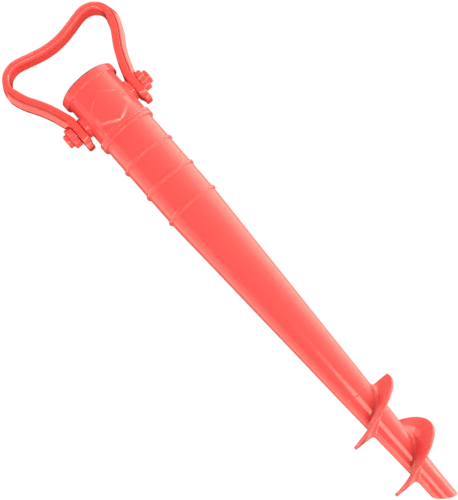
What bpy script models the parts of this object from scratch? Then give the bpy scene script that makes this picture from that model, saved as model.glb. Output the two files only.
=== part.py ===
# Sand anchor for a beach-umbrella pole.
# Row frame: +Z up along the spike towards the mouth, -Y is the front (raised hexagon), X is the bail's pivot axis.
# The origin is on the spike's axis at the lowest rib, which is where the sand line sits.
# Everything is made in millimetres and turned into metres in the last lines.
import math

import bmesh
import bpy
from mathutils import Matrix, Vector

MM = 0.001
TAU = 2.0 * math.pi

# ---- socket head -------------------------------------------------------------
PIVOT_Z = 92.3          # height of the bail and clamp-screw axis
RIM_TOP = 115.7
RIM_R = 22.6
NECK_R = 20.5           # side walls of the neck
PANEL_R = 21.4          # raised front and back panels
PANEL_HALF = 15.4       # half width of a panel
BORE_R = 16.5           # takes a 32 mm pole
COLLAR_TOP = 74.4
COLLAR_R = 22.0
SPLIT_Z = 71.4          # joint line between head and spike, in the collar's groove
SPIGOT_TOP = 83.2
SPIGOT_R = 18.3
LUG_X = 22.7
LUG_R = 8.0
HEX_Z = 86.9
HEX_HALF_W = 14.2
HEX_HALF_H = 14.3
HEX_FLAT = 5.6          # half length of the hexagon's upright edges
HEX_R = 22.5
LINER_TOP = 116.8
LINER_R = 20.7

# ---- spike -------------------------------------------------------------------
TUBE_R = 19.2
TAPER_START = 4.0
RIB_Z = (47.4, 23.9, 0.0)
RIB_H = 2.6
RIB_OUT = 1.2
TIP_SPLIT = -173.6
WALL = 2.3
TAPER = ((71.1, 20.0), (24.0, 19.9), (-4.0, 19.7), (-19.7, 18.95), (-51.0, 17.4), (-82.5, 16.0), (-119.0, 14.25),
         (-154.5, 12.65), (-169.0, 12.0), (-251.0, 7.75), (-275.0, 7.2))

# ---- auger tip ---------------------------------------------------------------
FLIGHT_R = 25.6
FLIGHT_PITCH = 41.4
FLIGHT_Z0 = -179.4      # mid-surface height where the flight starts, on the +X side
FLIGHT_TURNS = 1.5
FLIGHT_LEAD_IN = math.radians(4.0)   # the flight's square start lies this far behind the +X side
FLIGHT_BACK = 2.6         # the back half of each turn rides higher than a true helix
FLIGHT_LEAN = (0.7, 2.1)  # the flight leans a little out of square with the tube
FLIGHT_T_ROOT = 3.2
FLIGHT_T_EDGE = 2.1
CUT_Z = -263.3
CUT_SLOPE = 0.56
CUT_FRONT = 0.3           # the cut also drops towards the front

# ---- bail handle -------------------------------------------------------------
BAR_IN = 2.3              # crossbar: inner face, outer edges and crown, from the mid line
BAR_EDGE = 2.6
BAR_CROWN = 3.5
ARM_IN = 4.3              # arms: the same three distances
ARM_EDGE = 2.1
ARM_CROWN = 4.7
STRAP_W = 16.5
EAR_X = 27.3            # strap's mid surface at the ears
EAR_T = 3.4
TAIL_IN = 2.5             # tail below the pivot: inner and outer face
TAIL_OUT = 2.4
SPOT_R = 8.6              # recess in the arm's outer face for the clamp knob
SINK_R = 7.1              # recess in its inner face for the spacer washer
TAIL_Z = 77.2

# ---- screw stack, distances from the axis ------------------------------------
NUT = (18.9, 22.3)
NUT_AF = 8.0
SPACER = (22.9, 25.35)
SPACER_R = 6.8
EYE_R = 3.9
BUSH_R = 3.85
THRUST = (29.3, 30.1)
THRUST_R = 6.0
KNOB = (30.4, 34.9)
SKIRT = 29.5              # inner edge of the knob's skirt, which covers the thrust washer
KNOB_R = 8.0
KNOB_FLUTE = 1.15
LOBES = 8
CAP = (35.2, 38.1)
CAP_R = 5.2
BOLT_R = 2.4
BOLT_HOLE_R = 2.75
BOLT = (12.0, 36.4)
PAD = (10.9, 13.0)
PAD_R = 5.0
PAD_TRAVEL = 4.5


def ease(t):
    t = min(1.0, max(0.0, t))
    return t * t * (3.0 - 2.0 * t)


def rgb(r, g, b):
    def lin(c):
        c /= 255.0
        return c / 12.92 if c <= 0.04045 else ((c + 0.055) / 1.055) ** 2.4
    return lin(r), lin(g), lin(b), 1.0


def material(name, color, rough, metal=0.0):
    m = bpy.data.materials.new(name)
    m.use_nodes = True
    b = m.node_tree.nodes["Principled BSDF"]
    b.inputs["Base Color"].default_value = color
    b.inputs["Roughness"].default_value = rough
    b.inputs["Metallic"].default_value = metal
    return m


def add(name, bm, mat, smooth=True):
    bmesh.ops.recalc_face_normals(bm, faces=bm.faces)
    me = bpy.data.meshes.new(name)
    bm.to_mesh(me)
    bm.free()
    me.materials.append(mat)
    for p in me.polygons:
        p.use_smooth = smooth
    ob = bpy.data.objects.new(name, me)
    bpy.context.scene.collection.objects.link(ob)
    return ob


def rings(sections, closed):
    """Skin a list of point loops; closed joins the last loop to the first, else the ends are capped."""
    bm = bmesh.new()
    vs = [[bm.verts.new(p) for p in s] for s in sections]
    n = len(vs[0])
    for i in range(len(vs) if closed else len(vs) - 1):
        a, b = vs[i], vs[(i + 1) % len(vs)]
        for k in range(n):
            bm.faces.new((a[k], a[(k + 1) % n], b[(k + 1) % n], b[k]))
    if not closed:
        bm.faces.new(list(reversed(vs[0])))
        bm.faces.new(vs[-1])
    return bm


def angles(n):
    return [TAU * k / n for k in range(n)]


def lathe_z(profile, n=64, closed=True):
    return rings([[(r * math.cos(a), r * math.sin(a), z) for a in angles(n)] for r, z in profile], closed)


def lathe_x(profile, side, n=32, closed=True, shape=None):
    """Profile of (radius, distance from the axis) turned about the screw axis on one side."""
    secs = []
    for item in profile:
        r, x = item[0], item[1]
        f = item[2] if len(item) > 2 else None
        loop = []
        for a in angles(n):
            rr = f(a) if f else r
            loop.append((side * x, rr * math.cos(a), PIVOT_Z + rr * math.sin(a)))
        secs.append(loop)
    return rings(secs, closed)


def boolean(ob, cutter, op):
    """Apply a boolean and drop the second object."""
    mod = ob.modifiers.new("b", 'BOOLEAN')
    mod.operation = op
    mod.solver = 'EXACT'
    mod.object = cutter
    dg = bpy.context.evaluated_depsgraph_get()
    me = bpy.data.meshes.new_from_object(ob.evaluated_get(dg))
    old = ob.data
    ob.modifiers.clear()
    ob.data = me
    me.name = ob.name
    bm = bmesh.new()
    bm.from_mesh(me)
    bmesh.ops.remove_doubles(bm, verts=bm.verts, dist=0.004)
    bmesh.ops.dissolve_degenerate(bm, edges=bm.edges, dist=0.002)
    bm.to_mesh(me)
    bm.free()
    bpy.data.meshes.remove(old)
    old = cutter.data
    bpy.data.objects.remove(cutter)
    bpy.data.meshes.remove(old)


def hexagon(af):
    def f(a):
        m = (a + math.pi / 6) % (math.pi / 3) - math.pi / 6
        return af / 2 / math.cos(m)
    return f


def taper_r(z):
    pts = TAPER
    for (z0, r0), (z1, r1) in zip(pts, pts[1:]):
        if z1 <= z <= z0:
            return r0 + (r1 - r0) * (z0 - z) / (z0 - z1)
    return pts[-1][1]


# =============================================================================
for ob in list(bpy.data.objects):
    bpy.data.objects.remove(ob)

CORAL = material("coral_plastic", rgb(250, 92, 88), 0.28)
CORAL_H = material("coral_handle", rgb(246, 88, 82), 0.3)
DARK = material("dark_liner", rgb(48, 30, 30), 0.6)
STEEL = material("zinc_steel", rgb(176, 178, 180), 0.35, 1.0)
NYLON = material("white_nylon", rgb(226, 222, 214), 0.45)
RUBBER = material("grip_rubber", rgb(52, 50, 50), 0.75)

# ---- socket head -------------------------------------------------------------
edge = math.asin(PANEL_HALF / ((NECK_R + PANEL_R) / 2))
ths = []
for quarter in (0.0, math.pi):
    front = -math.pi / 2 + quarter
    nb = 10
    ths += [front - edge + 2 * edge * k / nb for k in range(nb + 1)]
    gap = math.pi - 2 * edge
    ns = 8
    ths += [front + edge + 0.05 + (gap - 0.10) * k / ns for k in range(ns + 1)]


def on_panel(a):
    d = abs((a - (-math.pi / 2) + math.pi / 2) % math.pi - math.pi / 2)
    return d <= edge + 1e-6


def loop(z, r, panel=None):
    out = []
    for a in ths:
        rr = panel if (panel and on_panel(a)) else r
        out.append((rr * math.cos(a), rr * math.sin(a), z))
    return out


SP = SPLIT_Z + 0.15
head_sections = [
    loop(SP, COLLAR_R - 0.7), loop(SP + 0.8, COLLAR_R), loop(COLLAR_TOP - 0.9, COLLAR_R), loop(COLLAR_TOP, COLLAR_R - 0.8, COLLAR_R - 0.2),
    loop(COLLAR_TOP + 0.3, NECK_R, PANEL_R), loop(RIM_TOP - 7.2, NECK_R, PANEL_R), loop(RIM_TOP - 5.9, RIM_R - 0.4),
    loop(RIM_TOP - 5.0, RIM_R), loop(RIM_TOP - 1.2, RIM_R), loop(RIM_TOP - 0.3, RIM_R - 0.4), loop(RIM_TOP, RIM_R - 1.2),
    loop(RIM_TOP, LINER_R - 1.6), loop(RIM_TOP - 4.0, LINER_R - 1.6), loop(RIM_TOP - 4.0, BORE_R + 0.3), loop(RIM_TOP - 4.5, BORE_R),
    loop(SPIGOT_TOP + 0.3, BORE_R), loop(SPIGOT_TOP + 0.3, SPIGOT_R + 0.25), loop(SP, SPIGOT_R + 0.25),
]
head = add("socket_head", rings(head_sections, True), CORAL)
for s in (-1, 1):
    boss = add("boss", lathe_x([(LUG_R, 17.6), (LUG_R, LUG_X - 0.7), (LUG_R - 0.7, LUG_X)], s, 40, False), CORAL)
    boolean(head, boss, 'UNION')

# raised hexagon that follows the front panel, with sloping edges
hexpts = [(0, HEX_HALF_H), (HEX_HALF_W, HEX_FLAT), (HEX_HALF_W, -HEX_FLAT), (0, -HEX_HALF_H), (-HEX_HALF_W, -HEX_FLAT), (-HEX_HALF_W, HEX_FLAT)]
secs = []
for y, grow in ((-26.0, -0.185), (-12.0, 0.055)):
    k = 1.0 + grow
    secs.append([(x * k, y, HEX_Z + z * k) for x, z in hexpts])
hexo = add("hexo", rings(secs, False), CORAL)
drum = add("drum", rings([[(r * math.cos(a), r * math.sin(a), z) for a in angles(96)] for r, z in ((HEX_R, 60.0), (HEX_R, 112.0))], False), CORAL)
core = add("core", rings([[(19.0 * math.cos(a), 19.0 * math.sin(a), z) for a in angles(64)] for z in (55.0, 118.0)], False), CORAL)
boolean(hexo, drum, 'INTERSECT')
boolean(hexo, core, 'DIFFERENCE')
boolean(head, hexo, 'UNION')

for s in (-1, 1):
    hole = add("hole", lathe_x([(BOLT_HOLE_R, 8.0), (BOLT_HOLE_R, 30.0)], s, 28, False), CORAL)
    boolean(head, hole, 'DIFFERENCE')
    pocket = add("pocket", lathe_x([(0, NUT[0] - 0.2, hexagon(NUT_AF + 0.5)), (0, LUG_X + 1.0, hexagon(NUT_AF + 0.5))], s, 24, False), CORAL)
    boolean(head, pocket, 'DIFFERENCE')
    recess = add("recess", lathe_x([(PAD_R + 0.4, 8.0), (PAD_R + 0.4, PAD[1] + PAD_TRAVEL + 0.2)], s, 36, False), CORAL)
    boolean(head, recess, 'DIFFERENCE')

# ---- dark liner in the mouth -------------------------------------------------
add("mouth_liner", lathe_z([
    (BORE_R + 0.1, RIM_TOP - 3.7), (LINER_R - 1.9, RIM_TOP - 3.7), (LINER_R - 1.9, RIM_TOP + 0.25), (LINER_R, RIM_TOP + 0.25),
    (LINER_R, LINER_TOP - 0.4), (LINER_R - 0.5, LINER_TOP), (BORE_R + 1.6, LINER_TOP), (BORE_R + 0.1, LINER_TOP - 1.6)], 48), DARK)

# ---- hollow tapered spike ----------------------------------------------------
prof = [(SPIGOT_R - 0.0, SPIGOT_TOP - 0.6), (SPIGOT_R, SPLIT_Z - 0.15), (COLLAR_R - 0.7, SPLIT_Z - 0.15), (COLLAR_R, SPLIT_Z - 0.9),
        (COLLAR_R, SPLIT_Z - 1.9), (COLLAR_R - 0.9, SPLIT_Z - 2.8), (TUBE_R, SPLIT_Z - 2.95)]
for zr in RIB_Z:
    r = taper_r(zr)
    prof += [(r, zr + RIB_H / 2 + 0.5), (r + RIB_OUT, zr + RIB_H / 2 - 0.2), (r + RIB_OUT, zr - RIB_H / 2 + 0.2), (r, zr - RIB_H / 2 - 0.5)]
for z, r in TAPER[1:]:
    if z > TIP_SPLIT + 4:
        prof.append((r, z))
prof.append((taper_r(TIP_SPLIT), TIP_SPLIT + 0.15))
inner_end = taper_r(TIP_SPLIT) - WALL
prof += [(taper_r(TIP_SPLIT) - 1.1, TIP_SPLIT + 0.15), (taper_r(TIP_SPLIT + 12) - 1.1, TIP_SPLIT + 12.5), (inner_end, TIP_SPLIT + 12.5)]
for z, r in reversed(TAPER[1:-2]):
    if z > TIP_SPLIT + 18:
        prof.append((min(r - WALL, BORE_R), z))
prof += [(BORE_R, SPLIT_Z - 6.0), (BORE_R, SPIGOT_TOP)]
prof[0] = (SPIGOT_R - 0.6, SPIGOT_TOP)
prof.insert(1, (SPIGOT_R, SPIGOT_TOP - 0.6))
add("taper_tube", lathe_z(prof, 48), CORAL)

# ---- auger tip: tube end, helical flight and slanted cut ----------------------
z_in = TIP_SPLIT + 12.2
tp = [(taper_r(TIP_SPLIT) - 1.35, TIP_SPLIT - 0.15), (taper_r(TIP_SPLIT), TIP_SPLIT - 0.15)]
for k in range(1, 5):
    z = TIP_SPLIT + (-275.0 - TIP_SPLIT) * k / 4
    tp.append((taper_r(z), z))
for k in range(4, -1, -1):
    z = TIP_SPLIT + (-275.0 - TIP_SPLIT) * k / 4
    tp.append((taper_r(z) - WALL + 0.1, z))
tp += [(taper_r(z_in) - 2.7, z_in), (taper_r(z_in) - 1.35, z_in)]
tip = add("auger_tip", lathe_z(tp, 36), CORAL)

secs = []
N = 62
for k in range(N + 1):
    phi = -FLIGHT_LEAD_IN + (TAU * FLIGHT_TURNS + FLIGHT_LEAD_IN) * k / N
    z = FLIGHT_Z0 - FLIGHT_PITCH * phi / TAU + FLIGHT_LEAN[0] * math.cos(phi) - FLIGHT_LEAN[1] * math.sin(phi)
    z += FLIGHT_BACK * (math.sqrt(math.sin(phi) ** 2 + 0.02) - math.sin(phi)) / 2
    ca, sa = math.cos(phi), -math.sin(phi)
    r0 = taper_r(z) - 1.2
    te, tr = FLIGHT_T_EDGE / 2, FLIGHT_T_ROOT / 2
    pts = [(r0, z + tr + 0.9), (taper_r(z) + 1.4, z + tr * 0.9), (FLIGHT_R - 0.5, z + te), (FLIGHT_R, z + te * 0.4), (FLIGHT_R, z - te * 0.4),
           (FLIGHT_R - 0.5, z - te), (taper_r(z) + 1.4, z - tr * 0.9), (r0, z - tr - 0.9)]
    secs.append([(r * ca, r * sa, zz) for r, zz in pts])
flight = add("flight", rings(secs, False), CORAL)
boolean(tip, flight, 'UNION')
bm = bmesh.new()
bmesh.ops.create_cube(bm, size=60.0)
bm.transform(Matrix.Translation((0, 0, CUT_Z)) @ Vector((0, 0, 1)).rotation_difference(Vector((CUT_SLOPE, -CUT_FRONT, 1.0))).to_matrix().to_4x4() @ Matrix.Translation((0, 0, -30.0)))
boolean(tip, add("cutbox", bm, CORAL), 'DIFFERENCE')

# ---- bail handle -------------------------------------------------------------
half = [(0.0, 152.9), (9.0, 153.6), (18.5, 155.7), (26.5, 157.8), (32.6, 158.5), (38.6, 156.8), (43.0, 152.7), (45.3, 147.2), (45.3, 141.8),
        (43.6, 136.4), (41.2, 131.2), (38.6, 127.0), (34.5, 119.8), (31.3, 112.6), (29.0, 106.0), (27.5, 101.4), (EAR_X, 97.0),
        (EAR_X, 86.0), (EAR_X - 0.7, TAIL_Z)]
way = [(-x, z) for x, z in reversed(half[1:])] + half


def spline(pts, per):
    out = []
    for i in range(len(pts) - 1):
        p0 = pts[i - 1] if i else pts[0]
        p1, p2 = pts[i], pts[i + 1]
        p3 = pts[i + 2] if i + 2 < len(pts) else pts[-1]
        for k in range(per):
            t = k / per
            out.append(tuple(0.5 * (2 * b + (c - a) * t + (2 * a - 5 * b + 4 * c - d) * t * t + (3 * b - a - 3 * c + d) * t ** 3)
                             for a, b, c, d in zip(p0, p1, p2, p3)))
    out.append(pts[-1])
    return out


path = spline(way, 2)


def strap_section(z):
    """Distances from the strap's mid line: inner face, outer face at its edges, outer face at its crown."""
    grow = ease((z - 95.0) / 5.5)
    edge = EAR_T / 2 + (ARM_EDGE - EAR_T / 2) * grow
    crown = EAR_T / 2 + (ARM_CROWN - EAR_T / 2) * grow
    inner = ARM_IN
    bar = ease((z - 140.0) / 12.0)
    inner += (BAR_IN - ARM_IN) * bar
    edge += (BAR_EDGE - ARM_EDGE) * bar
    crown += (BAR_CROWN - ARM_CROWN) * bar
    tail = ease((84.5 - z) / 6.0)
    inner += (TAIL_IN - ARM_IN) * tail
    edge += (TAIL_OUT - EAR_T / 2) * tail
    crown += (TAIL_OUT - EAR_T / 2) * tail
    return inner, edge, crown


secs = []
for i, (x, z) in enumerate(path):
    x += 0.35 * ease((z - 110.0) / 35.0)
    xa, za = path[max(0, i - 1)]
    xb, zb = path[min(len(path) - 1, i + 1)]
    d = Vector((xb - xa, zb - za)).normalized()
    nx, nz = -d.y, d.x
    inner, edge, crown = strap_section(z)
    u = min(1.0, max(0.0, (z - TAIL_Z) / 9.0))
    w = 10.0 + (STRAP_W - 10.0) * (u * u * (3 - 2 * u))
    if z < TAIL_Z + 0.6:
        w -= 1.6
    c = 0.9
    b = w / 2
    sec = [(edge, b - c), (edge - c * 0.3, b - c * 0.3), (edge - c, b), (-inner + c, b), (-inner + c * 0.3, b - c * 0.3), (-inner, b - c),
           (-inner, -b + c), (-inner + c * 0.3, -b + c * 0.3), (-inner + c, -b), (edge - c, -b), (edge - c * 0.3, -b + c * 0.3), (edge, -b + c),
           (crown, -b * 0.3), (crown, b * 0.3)]
    secs.append([(x + nx * p, q, z + nz * p) for p, q in sec])
handle = add("carry_handle", rings(secs, False), CORAL_H)
for s in (-1, 1):
    eye = add("eye", lathe_x([(EYE_R, 20.0), (EYE_R, 38.0)], s, 32, False), CORAL_H)
    boolean(handle, eye, 'DIFFERENCE')
    spot = add("spot", lathe_x([(SPOT_R, EAR_X + EAR_T / 2), (SPOT_R, 40.0)], s, 40, False), CORAL_H)
    boolean(handle, spot, 'DIFFERENCE')
    sink = add("sink", lathe_x([(SINK_R, 15.0), (SINK_R, EAR_X - EAR_T / 2)], s, 36, False), CORAL_H)
    boolean(handle, sink, 'DIFFERENCE')

# ---- screw stacks ------------------------------------------------------------


def fluted(r, depth):
    return lambda a: r - depth * (0.5 - 0.5 * math.cos(LOBES * a)) ** 1.5


for side, tag in ((-1, "left"), (1, "right")):
    hb = BOLT_R + 0.3
    add("lock_nut_" + tag, lathe_x([(BOLT_R + 0.2, NUT[0]), (0, NUT[0], hexagon(NUT_AF)), (0, NUT[1], hexagon(NUT_AF)), (BOLT_R + 0.2, NUT[1])], side, 18), STEEL, False)
    add("spacer_washer_" + tag, lathe_x([(hb, SPACER[0]), (SPACER_R - 0.4, SPACER[0]), (SPACER_R, SPACER[0] + 0.4), (SPACER_R, SPACER[1] - 0.4),
                                         (SPACER_R - 0.4, SPACER[1]), (hb, SPACER[1])], side, 24), CORAL_H)
    e0, e1 = EAR_X - EAR_T / 2, EAR_X + EAR_T / 2
    add("pivot_bush_" + tag, lathe_x([(hb, e0 + 0.1), (BUSH_R - 0.2, e0 + 0.1), (BUSH_R, e0 + 0.4), (BUSH_R, e1 - 0.4), (BUSH_R - 0.2, e1 - 0.1), (hb, e1 - 0.1)], side, 24), NYLON)
    add("thrust_washer_" + tag, lathe_x([(hb, THRUST[0]), (THRUST_R, THRUST[0]), (THRUST_R, THRUST[1]), (hb, THRUST[1])], side, 28), CORAL_H)
    big = fluted(KNOB_R, KNOB_FLUTE)
    low = fluted(KNOB_R - 0.7, KNOB_FLUTE)
    add("clamp_knob_" + tag, lathe_x([(hb, KNOB[0]), (THRUST_R + 0.3, KNOB[0]), (THRUST_R + 0.3, SKIRT), (0, SKIRT, low), (0, SKIRT + 0.6, big), (0, KNOB[1] - 0.8, big), (0, KNOB[1], low),
                                      (hb + 1.7, KNOB[1]), (hb + 1.7, KNOB[1] - 1.5), (hb, KNOB[1] - 1.5)], side, 48), CORAL_H)
    add("knob_cap_" + tag, lathe_x([(CAP_R - 0.2, CAP[0]), (CAP_R, CAP[0] + 0.3), (CAP_R, CAP[1] - 1.0), (CAP_R - 0.4, CAP[1] - 0.35), (CAP_R - 1.2, CAP[1]),
                                    (0.6, CAP[1]), (0.6, CAP[0] + 2.1), (hb + 1.2, CAP[0] + 1.5), (hb + 1.2, CAP[0])], side, 28), CORAL_H)
    add("clamp_bolt_" + tag, lathe_x([(BOLT_R - 0.5, BOLT[0]), (BOLT_R, BOLT[0] + 0.6), (BOLT_R, KNOB[1] - 1.3), (BOLT_R + 1.6, KNOB[1] - 1.3),
                                      (BOLT_R + 1.6, KNOB[1] - 0.1), (BOLT_R + 1.2, BOLT[1])], side, 20, False), STEEL)
    add("pressure_pad_" + tag, lathe_x([(PAD_R - 0.5, PAD[0]), (PAD_R, PAD[0] + 0.5), (PAD_R, PAD[1] - 0.3), (PAD_R - 0.3, PAD[1]),
                                        (BOLT_R + 0.25, PAD[1]), (BOLT_R + 0.25, PAD[1] - 1.25)], side, 24, False), RUBBER)

for ob in bpy.data.objects:
    ob.data.transform(Matrix.Scale(MM, 4))
    ob.data.update()
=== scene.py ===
# Looks for the beach-umbrella sand anchor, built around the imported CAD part.
import math

import bpy
import numpy as np
from mathutils import Matrix, Vector


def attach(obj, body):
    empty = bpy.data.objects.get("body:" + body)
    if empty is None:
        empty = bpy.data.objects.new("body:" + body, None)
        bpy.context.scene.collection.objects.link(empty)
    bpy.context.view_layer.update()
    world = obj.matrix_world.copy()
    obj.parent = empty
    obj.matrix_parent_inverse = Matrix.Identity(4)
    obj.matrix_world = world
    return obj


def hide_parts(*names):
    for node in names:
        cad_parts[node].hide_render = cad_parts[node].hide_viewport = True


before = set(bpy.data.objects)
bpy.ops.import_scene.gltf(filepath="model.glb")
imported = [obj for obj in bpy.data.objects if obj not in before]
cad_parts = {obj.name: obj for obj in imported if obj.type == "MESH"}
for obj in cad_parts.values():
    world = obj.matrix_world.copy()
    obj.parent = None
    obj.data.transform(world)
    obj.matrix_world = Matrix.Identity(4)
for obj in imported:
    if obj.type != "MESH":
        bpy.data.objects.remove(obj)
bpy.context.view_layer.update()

MM = 0.001
TAU = 2.0 * math.pi
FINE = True

# dimensions of the CAD part, in millimetres
PIVOT_Z = 92.3
RIM_TOP = 115.7
RIM_R = 22.6
NECK_R = 20.5
PANEL_R = 21.4
PANEL_HALF = 15.4
BORE_R = 16.5
COLLAR_TOP = 74.4
COLLAR_R = 22.0
SPLIT_Z = 71.4
SPIGOT_TOP = 83.2
SPIGOT_R = 18.3
LUG_X = 22.7
LUG_R = 8.0
HEX_Z = 86.9
HEX_HALF_W = 14.2
HEX_HALF_H = 14.3
HEX_FLAT = 5.6
HEX_R = 22.5
LINER_TOP = 116.8
LINER_R = 20.7
RIB_Z = (47.4, 23.9, 0.0)
RIB_H = 2.6
RIB_OUT = 1.2
TIP_SPLIT = -173.6
WALL = 2.3
TAPER = ((71.1, 20.0), (24.0, 19.9), (-4.0, 19.7), (-19.7, 18.95), (-51.0, 17.4), (-82.5, 16.0), (-119.0, 14.25),
         (-154.5, 12.65), (-169.0, 12.0), (-251.0, 7.75), (-275.0, 7.2))
FLIGHT_R = 25.6
FLIGHT_PITCH = 41.4
FLIGHT_Z0 = -179.4
FLIGHT_TURNS = 1.5
FLIGHT_LEAD_IN = math.radians(4.0)
FLIGHT_BACK = 2.6
FLIGHT_LEAN = (0.7, 2.1)
FLIGHT_T_ROOT = 3.2
FLIGHT_T_EDGE = 2.1
CUT_Z = -263.3
CUT_SLOPE = 0.56
CUT_FRONT = 0.3
BAR_IN, BAR_EDGE, BAR_CROWN = 2.3, 2.6, 3.5
ARM_IN, ARM_EDGE, ARM_CROWN = 4.3, 2.1, 4.7
SPOT_R = 8.6
SINK_R = 7.1
SKIRT = 29.5
STRAP_W = 16.5
EAR_X = 27.3
EAR_T = 3.4
TAIL_IN, TAIL_OUT = 2.5, 2.4
TAIL_Z = 77.2
NUT = (18.9, 22.3)
NUT_AF = 8.0
SPACER = (22.9, 25.35)
SPACER_R = 6.8
EYE_R = 3.9
BUSH_R = 3.85
THRUST = (29.3, 30.1)
THRUST_R = 6.0
KNOB = (30.4, 34.9)
KNOB_R = 8.0
KNOB_FLUTE = 1.15
LOBES = 8
CAP = (35.2, 38.1)
CAP_R = 5.2
BOLT_R = 2.4
BOLT_HOLE_R = 2.75
BOLT = (12.0, 36.4)
PAD = (10.9, 13.0)
PAD_R = 5.0
PAD_TRAVEL = 4.5
PITCH = 0.8


# ---- distance-field helpers ---------------------------------------------------
def smin(a, b, k):
    h = np.clip(0.5 + 0.5 * (b - a) / k, 0.0, 1.0)
    return b + (a - b) * h - k * h * (1.0 - h)


def smax(a, b, k):
    return -smin(-a, -b, k)


def disc(r, z, radius, z0, z1, rnd):
    """Solid of revolution with rounded edges: a disc of that radius between two heights."""
    qx = r - (radius - rnd)
    qz = np.abs(z - (z0 + z1) / 2) - ((z1 - z0) / 2 - rnd)
    return np.hypot(np.maximum(qx, 0), np.maximum(qz, 0)) + np.minimum(np.maximum(qx, qz), 0) - rnd


def step(a, b, x):
    t = np.clip((x - a) / (b - a), 0.0, 1.0)
    return t * t * (3.0 - 2.0 * t)


TZ = np.array([z for z, r in TAPER][::-1])
TR = np.array([r for z, r in TAPER][::-1])


def taper_r(z):
    """The spike's outer radius, with the corners of the taper table softened."""
    return (np.interp(z - 3.0, TZ, TR) + np.interp(z, TZ, TR) * 2 + np.interp(z + 3.0, TZ, TR)) / 4


def net(name, sdf, lo, hi, h, newton=4):
    """Surface of a distance field as a quad mesh, its points moved onto the field's zero."""
    lo = np.array(lo, float)
    n = np.ceil((np.array(hi, float) - lo) / h).astype(int) + 1
    ax = [lo[i] + h * np.arange(n[i]) for i in range(3)]
    F = np.empty(tuple(n), np.float32)
    for k in range(n[2]):
        X, Y = np.meshgrid(ax[0], ax[1], indexing="ij")
        F[:, :, k] = sdf(X, Y, np.full_like(X, ax[2][k]))
    S = F < 0
    c = np.zeros(tuple(n - 1), np.int8)
    for i in (0, 1):
        for j in (0, 1):
            for k in (0, 1):
                c += S[i:n[0] - 1 + i, j:n[1] - 1 + j, k:n[2] - 1 + k]
    act = (c > 0) & (c < 8)
    cells = np.argwhere(act)
    idx = np.full(tuple(n - 1), -1, np.int64)
    idx[act] = np.arange(len(cells))
    pos = np.zeros((len(cells), 3))
    cnt = np.zeros(len(cells))
    for axis in range(3):
        oth = [a for a in range(3) if a != axis]
        for p in (0, 1):
            for q in (0, 1):
                a = cells.copy()
                a[:, oth[0]] += p
                a[:, oth[1]] += q
                b = a.copy()
                b[:, axis] += 1
                fa, fb = F[tuple(a.T)].astype(float), F[tuple(b.T)].astype(float)
                m = (fa < 0) != (fb < 0)
                t = fa[m] / (fa[m] - fb[m])
                pt = a[m].astype(float)
                pt[:, axis] += t
                pos[m] += pt
                cnt[m] += 1
    P = lo + h * pos / cnt[:, None]
    e = 0.02
    for _ in range(newton):
        x, y, z = P.T
        f = sdf(x, y, z)
        g = np.stack([sdf(x + e, y, z) - sdf(x - e, y, z), sdf(x, y + e, z) - sdf(x, y - e, z), sdf(x, y, z + e) - sdf(x, y, z - e)], 1) / (2 * e)
        g2 = np.maximum((g * g).sum(1), 0.05)
        d = -(f / g2)[:, None] * g
        L = np.linalg.norm(d, axis=1)
        d *= np.minimum(1.0, 0.5 * h / np.maximum(L, 1e-9))[:, None]
        P = P + d
    quads = []
    for axis in range(3):
        o1, o2 = [(1, 2), (2, 0), (0, 1)][axis]
        sl_a = [slice(None)] * 3
        sl_b = [slice(None)] * 3
        sl_a[axis], sl_b[axis] = slice(0, n[axis] - 1), slice(1, n[axis])
        A, B = S[tuple(sl_a)], S[tuple(sl_b)]
        ch = np.argwhere(A != B)
        ch = ch[(ch[:, o1] > 0) & (ch[:, o2] > 0) & (ch[:, o1] < n[o1] - 1) & (ch[:, o2] < n[o2] - 1)]
        out = A[tuple(ch.T)]
        qs = []
        for d1, d2 in ((-1, -1), (0, -1), (0, 0), (-1, 0)):
            cc = ch.copy()
            cc[:, o1] += d1
            cc[:, o2] += d2
            qs.append(idx[tuple(cc.T)])
        Q = np.stack(qs, 1)
        Q[~out] = Q[~out][:, ::-1]
        quads.append(Q)
    Q = np.vstack(quads)
    me = bpy.data.meshes.new(name)
    me.vertices.add(len(P))
    me.vertices.foreach_set("co", (P * MM).ravel())
    me.loops.add(Q.size)
    me.loops.foreach_set("vertex_index", Q.ravel().astype(np.int32))
    me.polygons.add(len(Q))
    me.polygons.foreach_set("loop_start", np.arange(0, Q.size, 4, dtype=np.int32))
    me.update(calc_edges=True)
    me.validate()
    me.polygons.foreach_set("use_smooth", np.ones(len(me.polygons), bool))
    ob = bpy.data.objects.new(name, me)
    bpy.context.scene.collection.objects.link(ob)
    return ob


def skin(name, secs, closed=True):
    """Quads between successive loops of points (millimetres); closed joins the last loop to the first."""
    A = np.array(secs, float)
    m, n = A.shape[:2]
    P = A.reshape(-1, 3)
    rows = np.arange(m if closed else m - 1)
    cols = np.arange(n)
    R0, C0 = np.meshgrid(rows, cols, indexing="ij")
    R1, C1 = (R0 + 1) % m, (C0 + 1) % n
    Q = np.stack([R0 * n + C0, R0 * n + C1, R1 * n + C1, R1 * n + C0], -1).reshape(-1, 4)
    faces = [tuple(int(v) for v in q) for q in Q]
    if not closed:
        faces.append(tuple(range(n))[::-1])
        faces.append(tuple(range((m - 1) * n, m * n)))
    me = bpy.data.meshes.new(name)
    me.from_pydata([tuple(p) for p in (P * MM)], [], faces)
    me.update()
    me.polygons.foreach_set("use_smooth", np.ones(len(me.polygons), bool))
    ob = bpy.data.objects.new(name, me)
    bpy.context.scene.collection.objects.link(ob)
    fix_normals(ob)
    return ob


def fix_normals(ob):
    import bmesh
    bm = bmesh.new()
    bm.from_mesh(ob.data)
    bmesh.ops.recalc_face_normals(bm, faces=bm.faces)
    bm.to_mesh(ob.data)
    bm.free()
    ob.data.update()


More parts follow.
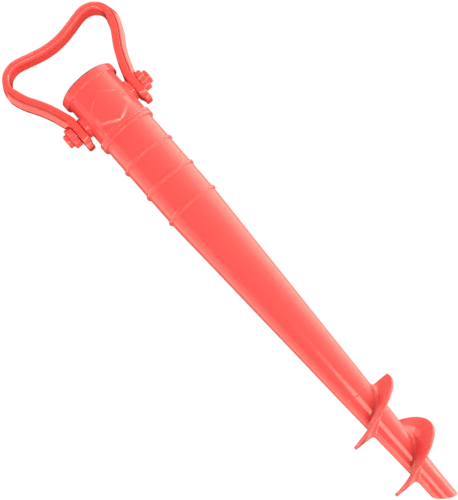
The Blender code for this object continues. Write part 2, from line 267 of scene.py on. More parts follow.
def rounded(profile, n=5):
    """Closed or open profile of (r, z, radius) corners, each corner rounded with n+1 points."""
    out = []
    m = len(profile)
    for i in range(m):
        a, b, c = profile[i - 1], profile[i], profile[(i + 1) % m]
        rad = b[2] if len(b) > 2 else 0.0
        p = Vector((b[0], b[1]))
        if rad <= 0:
            out.append((p.x, p.y))
            continue
        u = Vector((a[0], a[1])) - p
        w = Vector((c[0], c[1])) - p
        lim = min(u.length, w.length) * 0.48
        ang = u.angle(w)
        if ang > math.pi - 0.02:
            out.append((p.x, p.y))
            continue
        t = min(rad / math.tan(ang / 2), lim)
        p0, p1 = p + u.normalized() * t, p + w.normalized() * t
        for k in range(n + 1):
            s = k / n
            q = p0 * (1 - s) ** 2 + p * 2 * s * (1 - s) + p1 * s ** 2
            out.append((q.x, q.y))
    return out


def turn_z(name, profile, n=160):
    a = np.arange(n) * TAU / n
    return skin(name, [np.stack([r * np.cos(a), r * np.sin(a), np.full(n, z)], 1) for r, z in profile])


def turn_x(name, profile, side, n=96, closed=True, shape=None):
    """Turned about the clamp-screw axis on one side. shape(a, r, x) may change the radius round the circle."""
    a = np.arange(n) * TAU / n
    secs = []
    for r, x in profile:
        rr = shape(a, r, x) if shape else np.full(n, r)
        secs.append(np.stack([np.full(n, side * x), rr * np.cos(a), PIVOT_Z + rr * np.sin(a)], 1))
    return skin(name, secs, closed)


# ---- materials ------------------------------------------------------------------
def lin(c):
    c /= 255.0
    return c / 12.92 if c <= 0.04045 else ((c + 0.055) / 1.055) ** 2.4


def node(nt, kind, **kw):
    nd = nt.nodes.new(kind)
    for k, v in kw.items():
        setattr(nd, k, v)
    return nd


def math_node(nt, op, a, b=None, c=None):
    nd = nt.nodes.new("ShaderNodeMath")
    nd.operation = op
    for i, v in enumerate((a, b, c)):
        if v is None:
            continue
        if isinstance(v, (int, float)):
            nd.inputs[i].default_value = v
        else:
            nt.links.new(v, nd.inputs[i])
    return nd.outputs[0]


def plastic(name, color, rough=0.12, var=0.04, bump=0.02, coat=0.0, edge_shade=0.5, seam=None, edge=(0.60, 0.35, 0.33, 1.0)):
    m = bpy.data.materials.new(name)
    m.use_nodes = True
    nt = m.node_tree
    b = nt.nodes["Principled BSDF"]
    tc = node(nt, "ShaderNodeTexCoord")
    big = node(nt, "ShaderNodeTexNoise")
    big.inputs["Scale"].default_value = 38.0
    big.inputs["Detail"].default_value = 3.0
    nt.links.new(tc.outputs["Object"], big.inputs["Vector"])
    ramp = node(nt, "ShaderNodeMix", data_type="RGBA")
    dark = [c * (1.0 - var) for c in color[:3]] + [1.0]
    light = [min(1.0, c * (1.0 + var)) for c in color[:3]] + [1.0]
    ramp.inputs[6].default_value = dark
    ramp.inputs[7].default_value = light
    nt.links.new(big.outputs["Fac"], ramp.inputs[0])
    col = ramp.outputs[2]
    fine = node(nt, "ShaderNodeTexNoise")
    fine.inputs["Scale"].default_value = 900.0
    fine.inputs["Detail"].default_value = 2.0
    nt.links.new(tc.outputs["Object"], fine.inputs["Vector"])
    mid = node(nt, "ShaderNodeTexNoise")
    mid.inputs["Scale"].default_value = 120.0
    mid.inputs["Detail"].default_value = 2.0
    nt.links.new(tc.outputs["Object"], mid.inputs["Vector"])
    hsum = math_node(nt, "ADD", math_node(nt, "MULTIPLY", fine.outputs["Fac"], 0.25), math_node(nt, "MULTIPLY", mid.outputs["Fac"], 1.0))
    # seam: (axis, position, half width, bump height); the line is raised in the bump, and its colour is darkened as
    # painted shade in the seam
    if seam:
        sep = node(nt, "ShaderNodeSeparateXYZ")
        nt.links.new(tc.outputs["Object"], sep.inputs[0])
        d = math_node(nt, "ABSOLUTE", math_node(nt, "SUBTRACT", sep.outputs[seam[0]], seam[1] * MM))
        line = math_node(nt, "SUBTRACT", 1.0, math_node(nt, "DIVIDE", d, seam[2] * MM))
        line = math_node(nt, "MAXIMUM", line, 0.0)
        hsum = math_node(nt, "ADD", hsum, math_node(nt, "MULTIPLY", line, seam[3]))
        mx = node(nt, "ShaderNodeMix", data_type="RGBA")
        nt.links.new(math_node(nt, "MULTIPLY", line, 0.8), mx.inputs[0])
        nt.links.new(col, mx.inputs[6])
        mx.inputs[7].default_value = [c * 0.55 for c in color[:3]] + [1.0]
        col = mx.outputs[2]
    bp = node(nt, "ShaderNodeBump")
    bp.inputs["Strength"].default_value = bump
    bp.inputs["Distance"].default_value = 0.0004
    nt.links.new(hsum, bp.inputs["Height"])
    nt.links.new(bp.outputs["Normal"], b.inputs["Normal"])
    rn = math_node(nt, "ADD", math_node(nt, "MULTIPLY", mid.outputs["Fac"], 0.08), rough - 0.04)
    nt.links.new(rn, b.inputs["Roughness"])
    if edge_shade:
        # painted shade: where the surface is seen edge-on, the base colour is darkened towards the edge colour and the
        # specular lowered, a dark outline along silhouettes standing in for dark grazing reflections
        lw = node(nt, "ShaderNodeLayerWeight")
        lw.inputs["Blend"].default_value = 0.5
        edge_shade_mask = node(nt, "ShaderNodeMapRange", interpolation_type="SMOOTHSTEP")
        edge_shade_mask.inputs["From Min"].default_value = 0.62
        edge_shade_mask.inputs["From Max"].default_value = 0.92
        nt.links.new(lw.outputs["Facing"], edge_shade_mask.inputs["Value"])
        mx = node(nt, "ShaderNodeMix", data_type="RGBA")
        nt.links.new(math_node(nt, "MULTIPLY", edge_shade_mask.outputs[0], edge_shade), mx.inputs[0])
        nt.links.new(col, mx.inputs[6])
        mx.inputs[7].default_value = edge
        col = mx.outputs[2]
        nt.links.new(math_node(nt, "SUBTRACT", 0.5, math_node(nt, "MULTIPLY", edge_shade_mask.outputs[0], 0.3)), b.inputs["Specular IOR Level"])
    nt.links.new(col, b.inputs["Base Color"])
    b.inputs["IOR"].default_value = 1.5
    b.inputs["Coat Weight"].default_value = coat
    b.inputs["Coat Roughness"].default_value = 0.06
    return m


def metal(name, color, rough=0.28):
    m = bpy.data.materials.new(name)
    m.use_nodes = True
    nt = m.node_tree
    b = nt.nodes["Principled BSDF"]
    b.inputs["Metallic"].default_value = 1.0
    b.inputs["Base Color"].default_value = color
    tc = node(nt, "ShaderNodeTexCoord")
    mp = node(nt, "ShaderNodeMapping")
    mp.inputs["Scale"].default_value = (2600.0, 260.0, 260.0)
    nt.links.new(tc.outputs["Object"], mp.inputs["Vector"])
    ns = node(nt, "ShaderNodeTexNoise")
    ns.inputs["Scale"].default_value = 1.0
    ns.inputs["Detail"].default_value = 3.0
    nt.links.new(mp.outputs[0], ns.inputs["Vector"])
    nt.links.new(math_node(nt, "ADD", math_node(nt, "MULTIPLY", ns.outputs["Fac"], 0.22), rough - 0.1), b.inputs["Roughness"])
    bp = node(nt, "ShaderNodeBump")
    bp.inputs["Strength"].default_value = 0.12
    bp.inputs["Distance"].default_value = 0.0001
    nt.links.new(ns.outputs["Fac"], bp.inputs["Height"])
    nt.links.new(bp.outputs["Normal"], b.inputs["Normal"])
    return m


CORAL = (0.93, 0.092, 0.100, 1.0)
# each material's silhouettes are darkened by the amount and towards the edge colour given below: painted shade
BODY = plastic("coral_body", CORAL)
# along the mould seam at y=0 the tip is darkened in colour, painted shade, with a raised seam line in the bump
TIP = plastic("coral_tip", CORAL, seam=("Y", 0.0, 0.55, 1.6))
GRIP = plastic("coral_grip", (0.90, 0.085, 0.086, 1.0), rough=0.13, edge_shade=0.6, edge=(0.16, 0.04, 0.04, 1.0))
# darker coral for the faces in the handle's parting groove: painted shade in the groove
GROOVE_SHADE = plastic("coral_groove_shade", (0.42, 0.050, 0.047, 1.0), rough=0.3, edge_shade=0.4, edge=(0.16, 0.04, 0.04, 1.0))
KNOBM = plastic("coral_knob", (0.90, 0.085, 0.088, 1.0), rough=0.12, edge_shade=0.6, edge=(0.16, 0.04, 0.04, 1.0))
LINER = plastic("liner_dark", (lin(46), lin(28), lin(28), 1.0), rough=0.55, bump=0.15, edge_shade=0.0)
NYLON = plastic("nylon_white", (lin(228), lin(222), lin(212), 1.0), rough=0.42, bump=0.06, var=0.03, edge_shade=0.0)
PADM = plastic("pad_rubber", (lin(50), lin(48), lin(48), 1.0), rough=0.7, bump=0.3, edge_shade=0.0)
ZINC = metal("zinc_bright", (0.60, 0.61, 0.62, 1.0))


def place(ob, body, mat, *nodes, slot=None):
    ob.data.materials.clear()
    ob.data.materials.append(mat)
    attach(ob, body)
    if nodes:
        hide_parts(*nodes)
    return ob


# ---- socket head --------------------------------------------------------------
SP = SPLIT_Z - 0.02


def hex_dist(x, z):
    """Distance to the pointed-top hexagon of the front pad, in the X-Z plane."""
    x, z = np.abs(x), np.abs(z)
    ex, ez = HEX_HALF_W, HEX_HALF_H - HEX_FLAT
    L = math.hypot(ex, ez)
    slant = (x * ez + (z - HEX_HALF_H) * ex) / L
    return smax(slant, x - HEX_HALF_W, 0.4)


def head_sdf(x, y, z):
    r = np.hypot(x, y)
    ax = np.abs(x)
    rn = NECK_R + (PANEL_R - NECK_R) * (1.0 - step(PANEL_HALF - 0.25, PANEL_HALF + 0.25, ax))
    neck = smax(r - rn, np.abs(z - 93.0) - 19.0, 0.4)
    d = smin(neck, disc(r, z, RIM_R, RIM_TOP - 5.9, RIM_TOP, 0.55), 0.35)
    collar = disc(r, z, COLLAR_R, SP, COLLAR_TOP, 0.8)
    d = smin(d, collar, 0.5)
    rl = np.hypot(y, z - PIVOT_Z)
    lug = disc(rl, x, LUG_R, -LUG_X, LUG_X, 0.6)
    d = smin(d, lug, 1.0)
    hx = hex_dist(x, z - HEX_Z)
    wide = np.where(z < HEX_Z, 2.3, 1.0)
    pad = smax(r - HEX_R, (hx + wide * (r - PANEL_R)) / np.sqrt(1.0 + wide ** 2), 0.14)
    pad = np.where(y < 0, pad, 9.0)
    pad = np.maximum(pad, 18.6 - r)
    d = smin(d, pad, 0.15)
    bore = r - BORE_R
    d = smax(d, -bore, 0.4)
    d = smax(d, -np.maximum(r - (SPIGOT_R + 0.25), z - (SPIGOT_TOP + 0.3)), 0.1)
    d = smax(d, -np.maximum(r - (LINER_R - 1.6), (RIM_TOP - 4.0) - z), 0.1)
    d = np.maximum(d, SP - z)
    d = np.maximum(d, -np.maximum(rl - BOLT_HOLE_R, 8.0 - ax))
    qa = np.arctan2(z - PIVOT_Z, y)
    m = (qa + math.pi / 6) % (math.pi / 3) - math.pi / 6
    pocket = np.maximum(rl * np.cos(m) - (NUT_AF + 0.5) / 2, (NUT[0] - 0.2) - ax)
    d = np.maximum(d, -pocket)
    d = np.maximum(d, -np.maximum(rl - (PAD_R + 0.4), ax - (PAD[1] + PAD_TRAVEL + 0.2)))
    return d


head = net("head_shell", head_sdf, (-24.2, -24.2, SP - 1.1), (24.2, 24.2, RIM_TOP + 1.0), 0.4 if FINE else 0.7)
place(head, "anchor", BODY, "socket_head", slot="coral_plastic")

# ---- dark liner -----------------------------------------------------------------
pr = rounded([(BORE_R + 0.1, RIM_TOP - 3.7, 0.3), (LINER_R - 1.9, RIM_TOP - 3.7, 0.2), (LINER_R - 1.9, RIM_TOP + 0.25, 0.1), (LINER_R, RIM_TOP + 0.25, 0.3),
              (LINER_R, LINER_TOP, 0.4), (BORE_R + 1.6, LINER_TOP, 0.5), (BORE_R + 0.1, LINER_TOP - 1.6, 0.5)], 4)
place(turn_z("liner_ring", pr, 180), "anchor", LINER, "mouth_liner", slot="dark_liner")

# ---- spike ------------------------------------------------------------------------
zs = []
prof = []


def outer(z):
    r = float(taper_r(z))
    for zr in RIB_Z:
        t = abs(z - zr) / (RIB_H / 2 + 0.35)
        if t < 1.0:
            r += RIB_OUT * (1.0 - t ** 4) ** 1.5
    return r


zlist = list(np.arange(SPLIT_Z - 3.2, TIP_SPLIT + 1.0, -4.0))
for zr in RIB_Z:
    zlist += list(np.linspace(zr - 2.2, zr + 2.2, 23))
zlist = sorted(set(round(float(v), 3) for v in zlist), reverse=True)
tube = [(SPIGOT_R, SPIGOT_TOP, 0.6), (SPIGOT_R, SPLIT_Z, 0.0), (COLLAR_R, SPLIT_Z, 0.8), (COLLAR_R, SPLIT_Z - 2.9, 0.9), (taper_r(68.0), SPLIT_Z - 2.95, 0.3)]
tube += [(outer(z), z) for z in zlist]
tube += [(float(taper_r(TIP_SPLIT)), TIP_SPLIT, 0.1), (float(taper_r(TIP_SPLIT)) - 1.1, TIP_SPLIT),
         (float(taper_r(TIP_SPLIT + 12)) - 1.1, TIP_SPLIT + 12.5), (float(taper_r(TIP_SPLIT)) - WALL, TIP_SPLIT + 12.5)]
tube += [(min(float(taper_r(z)) - WALL, BORE_R), z) for z in np.arange(-150.0, 60.0, 10.0)]
tube += [(BORE_R, SPLIT_Z - 6.0), (BORE_R, SPIGOT_TOP, 0.4)]
place(turn_z("spike_tube", rounded(tube, 5), 192 if FINE else 96), "anchor", BODY, "taper_tube", slot="coral_plastic")

# ---- auger tip ----------------------------------------------------------------------


def tip_sdf(x, y, z):
    r = np.hypot(x, y)
    R = taper_r(z)
    tube = smax(r - R, z - (TIP_SPLIT + 0.02), 0.15)
    phi = np.arctan2(-y, x)
    lean = FLIGHT_LEAN[0] * np.cos(phi) - FLIGHT_LEAN[1] * np.sin(phi)
    back = FLIGHT_BACK * (np.sqrt(np.sin(phi) ** 2 + 0.02) - np.sin(phi)) / 2
    t = FLIGHT_T_ROOT / 2 + (FLIGHT_T_EDGE - FLIGHT_T_ROOT) / 2 * np.clip((r - 8.0) / (FLIGHT_R - 8.0), 0, 1)
    lead = 1.0 / np.sqrt(1.0 + (FLIGHT_PITCH / TAU / np.maximum(r, 4.0)) ** 2)
    fl = np.full_like(r, 50.0)
    for k in (-1, 0, 1, 2):
        pk = phi + TAU * k
        zm = FLIGHT_Z0 - FLIGHT_PITCH * pk / TAU + lean + back
        core = np.abs(z - zm) * lead - t
        end = np.maximum(-FLIGHT_LEAD_IN - pk, pk - TAU * FLIGHT_TURNS) * np.maximum(r, 4.0)
        one = smax(core, r - FLIGHT_R, 0.7)
        one = smax(one, end, 0.7)
        fl = np.minimum(fl, one)
    fl = np.maximum(fl, (R - 1.2) - r)
    d = smin(tube, fl, 2.2)
    cut = (CUT_Z - z - CUT_SLOPE * x + CUT_FRONT * y) / math.sqrt(1.0 + CUT_SLOPE ** 2 + CUT_FRONT ** 2)
    d = smax(d, cut, 0.5)
    d = smax(d, (R - WALL + 0.1) - r, 0.3)
    zi = TIP_SPLIT + 12.2
    ro = np.interp(z, [TIP_SPLIT - 0.15, zi], [float(taper_r(TIP_SPLIT)) - 1.35, float(taper_r(zi)) - 1.35])
    ri = np.interp(z, [TIP_SPLIT - 0.15, zi], [float(taper_r(TIP_SPLIT)) - WALL + 0.1, float(taper_r(zi)) - 2.7])
    spig = np.maximum(np.maximum(r - ro, ri - r), np.maximum(z - zi, (TIP_SPLIT - 4.0) - z))
    return np.minimum(d, spig)


tip = net("auger_foot", tip_sdf, (-26.8, -26.8, -273.0), (26.8, 26.8, TIP_SPLIT + 13.4), 0.42 if FINE else 0.8)
place(tip, "anchor", TIP, "auger_tip", slot="coral_plastic")

# ---- bail handle ----------------------------------------------------------------------
half = [(0.0, 152.9), (9.0, 153.6), (18.5, 155.7), (26.5, 157.8), (32.6, 158.5), (38.6, 156.8), (43.0, 152.7), (45.3, 147.2), (45.3, 141.8),
        (43.6, 136.4), (41.2, 131.2), (38.6, 127.0), (34.5, 119.8), (31.3, 112.6), (29.0, 106.0), (27.5, 101.4), (EAR_X, 97.0),
        (EAR_X, 86.0), (EAR_X - 0.7, TAIL_Z)]
way = [(-x, z) for x, z in reversed(half[1:])] + half


def spline(pts, per):
    out = []
    for i in range(len(pts) - 1):
        p0 = pts[i - 1] if i else pts[0]
        p1, p2 = pts[i], pts[i + 1]
        p3 = pts[i + 2] if i + 2 < len(pts) else pts[-1]
        for k in range(per):
            t = k / per
            out.append(tuple(0.5 * (2 * b + (c - a) * t + (2 * a - 5 * b + 4 * c - d) * t * t + (3 * b - a - 3 * c + d) * t ** 3)
                             for a, b, c, d in zip(p0, p1, p2, p3)))
    out.append(pts[-1])
    return out


PATH = np.array(spline(way, 8))
PATH[:, 0] += 0.35 * step(110.0, 145.0, PATH[:, 1])
SEG_A, SEG_B = PATH[:-1], PATH[1:]


def path_dist(x, z):
    """Signed distance from the strap's mid line, positive outwards, and the height of the nearest point on it."""
    sh = x.shape
    p = np.stack([x.ravel(), z.ravel()], 1)
    d = SEG_B - SEG_A
    L2 = (d * d).sum(1)
    best = np.full(len(p), 1e9)
    zz = np.zeros(len(p))
    sign = np.ones(len(p))
    for i in range(len(d)):
        t = np.clip(((p - SEG_A[i]) @ d[i]) / L2[i], 0.0, 1.0)
        q = SEG_A[i] + t[:, None] * d[i]
        e = p - q
        dd = (e * e).sum(1)
        m = dd < best
        best[m] = dd[m]
        zz[m] = q[m, 1]
        sign[m] = np.sign(-d[i][1] * e[m, 0] + d[i][0] * e[m, 1])
    return (np.sqrt(best) * sign).reshape(sh), zz.reshape(sh)


def handle_sdf(x, y, z):
    n, zz = path_dist(x, z)
    grow = step(95.0, 100.5, zz)
    bar = step(140.0, 152.0, zz)
    tail = 1.0 - step(78.5, 84.5, zz)
    ear = EAR_T / 2
    inner = ARM_IN + (BAR_IN - ARM_IN) * bar + (TAIL_IN - ARM_IN) * tail
    edge = ear + (ARM_EDGE - ear) * grow + (BAR_EDGE - ARM_EDGE) * bar + (TAIL_OUT - ear) * tail
    crown = ear + (ARM_CROWN - ear) * grow + (BAR_CROWN - ARM_CROWN) * bar + (TAIL_OUT - ear) * tail
    w = 10.0 + (STRAP_W - 10.0) * step(TAIL_Z, TAIL_Z + 9.0, zz)
    q = np.clip((np.abs(y) / (w / 2) - 0.3) / 0.7, 0.0, 1.2)
    top = crown + (edge - crown) * q
    slope = (crown - edge) / (0.7 * w / 2)
    face = (n - top) / np.sqrt(1.0 + slope ** 2)
    groove = np.exp(-((n - (edge - 0.9)) / 0.55) ** 2) * step(98.0, 104.0, zz)
    d = smax(face, -inner - n, 0.5)
    d = smax(d, np.abs(y) - w / 2 + 0.12 + 0.6 * groove, 0.5 + 1.7 * step(0.5, -1.5, n))
    rl = np.hypot(y, z - PIVOT_Z)
    d = smax(d, TAIL_Z - z, 1.0)
    ax = np.abs(x)
    d = np.maximum(d, -np.maximum(rl - EYE_R, 20.0 - ax))
    d = smax(d, -smax(rl - SPOT_R, EAR_X + ear - ax, 0.4), 0.3)
    d = smax(d, -np.maximum(rl - SINK_R, ax - (EAR_X - ear)), 0.3)
    return d


handle = net("bail_strap", handle_sdf, (-52.6, -9.4, TAIL_Z - 1.0), (53.0, 9.4, 163.6), 0.44 if FINE else 0.9, newton=2)
place(handle, "bail", GRIP, "carry_handle", slot="coral_handle")
# faces in the parting groove along the arms get a darker material: painted shade in the groove
handle.data.materials.append(GROOVE_SHADE)
mid = np.empty(len(handle.data.polygons) * 3)
handle.data.polygons.foreach_get("center", mid)
mid = mid.reshape(-1, 3) / MM
gn, gz = path_dist(mid[:, 0], mid[:, 2])
ge = ARM_EDGE + (BAR_EDGE - ARM_EDGE) * step(140.0, 152.0, gz)
groove_shade_faces = (np.abs(gn - ge + 0.9) < 0.36) & (np.abs(mid[:, 1]) > STRAP_W / 2 - 1.6) & (gz > 102.0) & (gz < 146.0)
handle.data.polygons.foreach_set("material_index", groove_shade_faces.astype(np.int32))

# ---- screw stacks -----------------------------------------------------------------------


def lobed(phase):
    def f(a, r, x):
        s = 0.5 - 0.5 * np.cos(LOBES * (a - phase))
        keep = np.clip((r - 5.2) / 1.2, 0.0, 1.0)
        return r - KNOB_FLUTE * s ** 1.3 * keep
    return f


def hexed(af):
    def f(a, r, x):
        m = (a + math.pi / 6) % (math.pi / 3) - math.pi / 6
        hx = af / 2 / np.cos(m)
        return np.where(r > BOLT_R + 0.6, np.minimum(hx, r), r)
    return f


def threaded(lo, hi):
    def f(a, r, x):
        if not lo < x < hi or abs(r - BOLT_R) > 0.01:
            return np.full_like(a, r)
        ph = (x / PITCH - a / TAU) % 1.0
        fade = min(1.0, (x - lo) / 0.6, (hi - x) / 0.6)
        return r - 0.32 * fade * np.abs(2.0 * ph - 1.0)
    return f


for side, tag in ((-1, "left"), (1, "right")):
    hb = BOLT_R + 0.3
    pr = rounded([(BOLT_R + 0.2, NUT[0], 0.2), (NUT_AF / 2 + 0.55, NUT[0], 0.3), (NUT_AF / 2 + 0.65, NUT[1], 0.4), (BOLT_R + 0.2, NUT[1], 0.3)], 4)
    place(turn_x("hex_nut_" + tag, pr, side, 96, True, hexed(NUT_AF)), "anchor", ZINC, "lock_nut_" + tag, slot="zinc_steel")
    pr = rounded([(hb, SPACER[0], 0.1), (SPACER_R, SPACER[0], 0.5), (SPACER_R, SPACER[1], 0.5), (hb, SPACER[1], 0.1)], 5)
    place(turn_x("spacer_" + tag, pr, side, 112), "anchor", KNOBM, "spacer_washer_" + tag, slot="coral_handle")
    e0, e1 = EAR_X - EAR_T / 2, EAR_X + EAR_T / 2
    pr = rounded([(hb, e0 + 0.1, 0.1), (BUSH_R, e0 + 0.1, 0.3), (BUSH_R, e1 - 0.1, 0.3), (hb, e1 - 0.1, 0.1)], 3)
    place(turn_x("bush_" + tag, pr, side, 72), "bail", NYLON, "pivot_bush_" + tag, slot="white_nylon")
    pr = rounded([(hb, THRUST[0], 0.1), (THRUST_R, THRUST[0], 0.2), (THRUST_R, THRUST[1], 0.2), (hb, THRUST[1], 0.1)], 3)
    place(turn_x("slip_washer_" + tag, pr, side, 96), "screw_" + tag, KNOBM, "thrust_washer_" + tag, slot="coral_handle")
    pr = rounded([(hb, KNOB[0], 0.0), (THRUST_R + 0.3, KNOB[0], 0.0), (THRUST_R + 0.3, SKIRT, 0.1), (KNOB_R, SKIRT, 0.8), (KNOB_R, KNOB[1], 0.9), (hb + 1.7, KNOB[1], 0.2), (hb + 1.7, KNOB[1] - 1.5, 0.0), (hb, KNOB[1] - 1.5, 0.0)], 6)
    place(turn_x("star_knob_" + tag, pr, side, 240, True, lobed(0.25 if side < 0 else 0.4)), "screw_" + tag, KNOBM, "clamp_knob_" + tag, slot="coral_handle")
    pr = rounded([(CAP_R, CAP[0], 0.2), (CAP_R, CAP[1] - 0.25, 0.9), (3.6, CAP[1], 0.6), (2.9, CAP[1] - 0.45, 0.3), (0.6, CAP[1] - 0.55, 0.0), (0.6, CAP[0] + 2.1, 0.0), (hb + 1.2, CAP[0] + 1.5, 0.0), (hb + 1.2, CAP[0], 0.1)], 6)
    place(turn_x("end_cap_" + tag, pr, side, 120), "screw_" + tag, KNOBM, "knob_cap_" + tag, slot="coral_handle")
    pr = [(0.05, BOLT[0]), (BOLT_R - 0.5, BOLT[0])]
    pr += [(BOLT_R, x) for x in np.arange(BOLT[0] + 0.5, KNOB[1] - 1.3, 0.1)]
    pr += rounded([(BOLT_R, KNOB[1] - 1.3), (BOLT_R + 1.6, KNOB[1] - 1.3, 0.2), (BOLT_R + 1.6, KNOB[1] - 0.1, 0.4), (BOLT_R + 1.2, BOLT[1], 0.4)], 4)
    pr += [(0.05, BOLT[1])]
    place(turn_x("bolt_" + tag, pr, side, 48, False, threaded(BOLT[0], KNOB[1] - 4.0)), "screw_" + tag, ZINC, "clamp_bolt_" + tag, slot="zinc_steel")
    grooves = [(0.05, PAD[0] + 0.25)]
    for k in range(60):
        rr = 0.1 + (PAD_R - 1.0) * k / 59
        grooves.append((rr, PAD[0] + 0.14 + 0.12 * math.cos(rr * TAU / 1.1)))
    pr = grooves + rounded([(PAD_R - 0.7, PAD[0] + 0.05), (PAD_R, PAD[0] + 0.05, 0.6), (PAD_R, PAD[1], 0.4), (BOLT_R + 0.25, PAD[1], 0.1), (BOLT_R + 0.25, PAD[1] - 1.25, 0.0)], 4)[1:]
    pr += [(0.05, PAD[1] - 1.25)]
    place(turn_x("grip_pad_" + tag, pr, side, 96, False), "pad_" + tag, PADM, "pressure_pad_" + tag, slot="grip_rubber")

# ---- floor, camera and lights ---------------------------------------------------------
me = bpy.data.meshes.new("floor")
s, fz = 1.3, -1.2
me.from_pydata([(-s, -0.45, fz), (s, -0.45, fz), (s, 2.4, fz), (-s, 2.4, fz)], [], [(0, 1, 2, 3)])
floor = bpy.data.objects.new("floor", me)
bpy.context.scene.collection.objects.link(floor)
fm = bpy.data.materials.new("floor_pale")
fm.use_nodes = True
fl_mix = node(fm.node_tree, "ShaderNodeMix", data_type="RGBA")
fm.node_tree.links.new(node(fm.node_tree, "ShaderNodeLightPath").outputs["Is Camera Ray"], fl_mix.inputs[0])
fl_mix.inputs[6].default_value = (0.42, 0.34, 0.31, 1)
fl_mix.inputs[7].default_value = (0.93, 0.93, 0.93, 1)
fm.node_tree.links.new(fl_mix.outputs[2], fm.node_tree.nodes["Principled BSDF"].inputs["Base Color"])
fm.node_tree.nodes["Principled BSDF"].inputs["Roughness"].default_value = 0.9
fm.node_tree.nodes["Principled BSDF"].inputs["Specular IOR Level"].default_value = 0.0
me.materials.append(fm)

F_PX, DIST, TILT, AZ, ROLL, CX, CZ = 1049.5, 0.73471, 5.86, 5.6625, 41.10117, -0.00110, -0.04078
cam = bpy.data.cameras.new("camera")
camo = bpy.data.objects.new("camera", cam)
bpy.context.scene.collection.objects.link(camo)
cam.sensor_width = 36.0
cam.lens = F_PX * 36.0 / 500.0
R = (Matrix.Rotation(math.radians(-AZ), 4, "Z") @ Matrix.Rotation(math.radians(90 + TILT), 4, "X")
     @ Matrix.Rotation(math.radians(-ROLL), 4, "Z"))
fwd = R.to_3x3() @ Vector((0, 0, -1))
camo.matrix_world = Matrix.Translation(Vector((CX, 0, CZ)) - fwd * DIST) @ R
cam.clip_start, cam.clip_end = 0.01, 100.0
bpy.context.scene.camera = camo
AIM = Vector((CX, 0, CZ))

# brightness of the studio round the object: azimuth in degrees from the front, positive towards +X
RING = ((-180, 0.0), (-142, 0.1), (-132, 1.7), (-110, 1.5), (-92, 1.1), (-80, 0.9), (-72, 0.05), (0, 0.03), (22, 0.08), (36, 0.4),
        (56, 0.7), (66, 1.25), (77, 2.1), (107, 2.5), (128, 2.0), (142, 0.1), (180, 0.0))
TOP = ((-180, 0.5), (-145, 0.6), (-128, 3.2), (-104, 3.2), (-88, 0.8), (-40, 0.65), (40, 0.65), (84, 0.8), (98, 3.6), (124, 3.6), (140, 0.6), (180, 0.5))
TOP_LO, TOP_HI = 0.42, 0.62
ZENITH_EL, ZENITH_L = 66.0, 1.2
STRIP_AZ, STRIP_HALF, STRIP_TOP, STRIP_RUN, STRIP_SOFT, STRIP_L = -16.5, 17.5, -7.0, 3.2, 3.0, 5.4
LOW_EL, LOW_AZ, LOW_BOW, LOW_TALL, LOW_HALF, LOW_L = -29.0, 0.0, 0.0011, 9.0, 104.0, 4.6
TINT = (1.04, 1.0, 0.80)


def panel(name, az, el, dist, w, h, power, roll=0.0, spread=180.0, color=(1, 1, 1)):
    """Rectangular area light seen from the object in that direction (azimuth from the front towards +X, elevation up)."""
    L = bpy.data.lights.new(name, "AREA")
    L.shape = "RECTANGLE"
    L.size, L.size_y = w, h
    L.energy = power
    L.color = color
    L.spread = math.radians(spread)
    a, e = math.radians(az), math.radians(el)
    d = Vector((math.sin(a) * math.cos(e), -math.cos(a) * math.cos(e), math.sin(e)))
    ob = bpy.data.objects.new(name, L)
    bpy.context.scene.collection.objects.link(ob)
    q = d.to_track_quat("Z", "Y").to_matrix().to_4x4()
    ob.matrix_world = Matrix.Translation(AIM + d * dist) @ q @ Matrix.Rotation(math.radians(roll), 4, "Z")
    return ob


world = bpy.data.worlds.new("studio")
world.use_nodes = True
bpy.context.scene.world = world
wt = world.node_tree
bg = wt.nodes["Background"]
tc = node(wt, "ShaderNodeTexCoord")
sp = node(wt, "ShaderNodeSeparateXYZ")
wt.links.new(tc.outputs["Generated"], sp.inputs[0])
wx, wy, wz = sp.outputs
azim = math_node(wt, "DIVIDE", math_node(wt, "ARCTAN2", wx, math_node(wt, "MULTIPLY", wy, -1.0)), TAU)
azim = math_node(wt, "ADD", azim, 0.5)


def ramp(fac, stops, interp="LINEAR"):
    """Brightness as a function of fac, from (position, value) pairs; values are given in units of the largest."""
    nd = node(wt, "ShaderNodeValToRGB")
    cr = nd.color_ramp
    cr.interpolation = interp
    big = max(v for p, v in stops)
    while len(cr.elements) < len(stops):
        cr.elements.new(0.5)
    for el, (p, v) in zip(cr.elements, stops):
        el.position = p
        el.color = (v / big, v / big, v / big, 1.0)
    wt.links.new(fac, nd.inputs[0])
    return math_node(wt, "MULTIPLY", nd.outputs[0], big)


def az_stops(pairs):
    return [((a + 180.0) / 360.0, v) for a, v in pairs]


# studio surround: bright walls to the sides, a dark camera bay in front and behind, soft top
ring = ramp(azim, az_stops(RING))
top = math_node(wt, "MINIMUM", math_node(wt, "MAXIMUM", math_node(wt, "DIVIDE", math_node(wt, "SUBTRACT", wz, TOP_LO), TOP_HI - TOP_LO), 0.0), 1.0)
front_top = ramp(azim, az_stops(TOP))
level = math_node(wt, "ADD", math_node(wt, "MULTIPLY", ring, math_node(wt, "SUBTRACT", 1.0, top)), math_node(wt, "MULTIPLY", front_top, top))
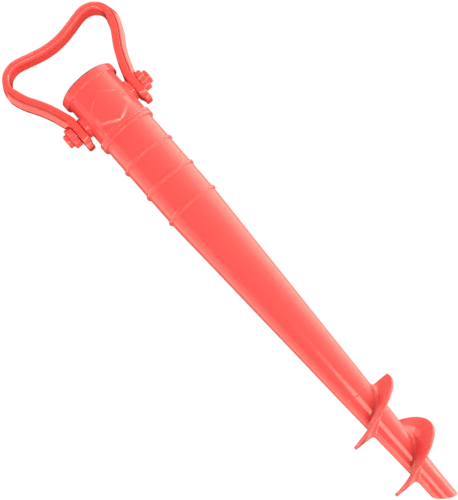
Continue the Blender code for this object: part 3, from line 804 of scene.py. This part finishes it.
# strip box low in front, whose slanted upper end draws a wedge of light down the spike
elev = math_node(wt, "MULTIPLY", math_node(wt, "ARCSINE", wz), 57.29578)
azd = math_node(wt, "MULTIPLY", math_node(wt, "SUBTRACT", azim, 0.5), 360.0)
width = math_node(wt, "MULTIPLY", math_node(wt, "MINIMUM", math_node(wt, "MAXIMUM", math_node(wt, "DIVIDE", math_node(wt, "SUBTRACT", STRIP_TOP, elev), STRIP_RUN), 0.0), 1.0), STRIP_HALF)
edge_in = math_node(wt, "SUBTRACT", width, math_node(wt, "ABSOLUTE", math_node(wt, "SUBTRACT", azd, STRIP_AZ)))
strip = math_node(wt, "MINIMUM", math_node(wt, "MAXIMUM", math_node(wt, "DIVIDE", edge_in, STRIP_SOFT), 0.0), 1.0)
strip = math_node(wt, "MULTIPLY", strip, math_node(wt, "MINIMUM", math_node(wt, "MAXIMUM", math_node(wt, "DIVIDE", math_node(wt, "ADD", elev, 26.0), 3.0), 0.0), 1.0))
strip = math_node(wt, "MULTIPLY", strip, STRIP_L)
low_off = math_node(wt, "SUBTRACT", azd, LOW_AZ)
low_mid = math_node(wt, "ADD", math_node(wt, "MULTIPLY", math_node(wt, "MULTIPLY", low_off, low_off), LOW_BOW), LOW_EL)
low_el = math_node(wt, "MINIMUM", math_node(wt, "MAXIMUM", math_node(wt, "DIVIDE", math_node(wt, "SUBTRACT", LOW_TALL, math_node(wt, "ABSOLUTE", math_node(wt, "SUBTRACT", elev, low_mid))), 1.5), 0.0), 1.0)
low_az = math_node(wt, "MINIMUM", math_node(wt, "MAXIMUM", math_node(wt, "DIVIDE", math_node(wt, "SUBTRACT", LOW_HALF, math_node(wt, "ABSOLUTE", low_off)), 10.0), 0.0), 1.0)
low_side = ramp(azim, az_stops(((-180, 1.0), (15, 1.0), (35, 2.0), (95, 1.8), (180, 1.8))))
low = math_node(wt, "MULTIPLY", math_node(wt, "MULTIPLY", math_node(wt, "MULTIPLY", low_el, low_az), LOW_L), low_side)
zen = math_node(wt, "MULTIPLY", math_node(wt, "MINIMUM", math_node(wt, "MAXIMUM", math_node(wt, "DIVIDE", math_node(wt, "SUBTRACT", elev, ZENITH_EL), 3.0), 0.0), 1.0), ZENITH_L)
level = math_node(wt, "ADD", math_node(wt, "MAXIMUM", math_node(wt, "ADD", level, zen), low), strip)
lp = node(wt, "ShaderNodeLightPath")
cam_ray = lp.outputs["Is Camera Ray"]
cmb = node(wt, "ShaderNodeCombineColor")
for i in range(3):
    tinted = math_node(wt, "MULTIPLY", math_node(wt, "MULTIPLY", level, TINT[i]), math_node(wt, "SUBTRACT", 1.0, cam_ray))
    wt.links.new(math_node(wt, "ADD", tinted, math_node(wt, "MULTIPLY", cam_ray, 1.02)), cmb.inputs[i])
wt.links.new(cmb.outputs[0], bg.inputs["Color"])
bg.inputs["Strength"].default_value = 1.0
bpy.context.scene.view_settings.view_transform = "Standard"
